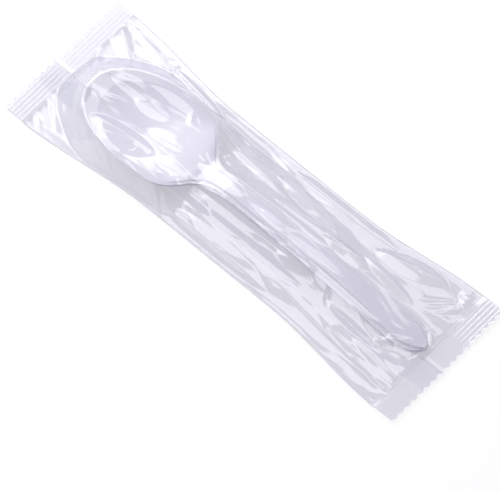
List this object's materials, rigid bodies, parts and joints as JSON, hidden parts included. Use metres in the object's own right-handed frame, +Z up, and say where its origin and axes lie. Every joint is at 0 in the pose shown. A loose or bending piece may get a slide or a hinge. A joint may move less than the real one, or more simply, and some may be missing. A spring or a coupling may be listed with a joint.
{
  "type": "wrapped plastic spoon",
  "caption": "White disposable plastic spoon sealed in a clear crinkled flow-wrap film with ribbed, zig-zag cut ends.",
  "frame": {"origin": "middle of the pack's underside, on the surface that it lies on", "axes": "+X along the pack towards the handle's end, +Z up out of the bowl, +Y across the pack"},
  "size_m": [0.181, 0.057, 0.0102],
  "materials": {
    "white_polystyrene": "smooth moulded white plastic with a soft gloss",
    "clear_film": "clear, thin, crinkled and shiny"
  },
  "bodies": {
    "root": {"spoon": "white_polystyrene", "film_wrapper": "clear_film"}
  },
  "joints": []
}
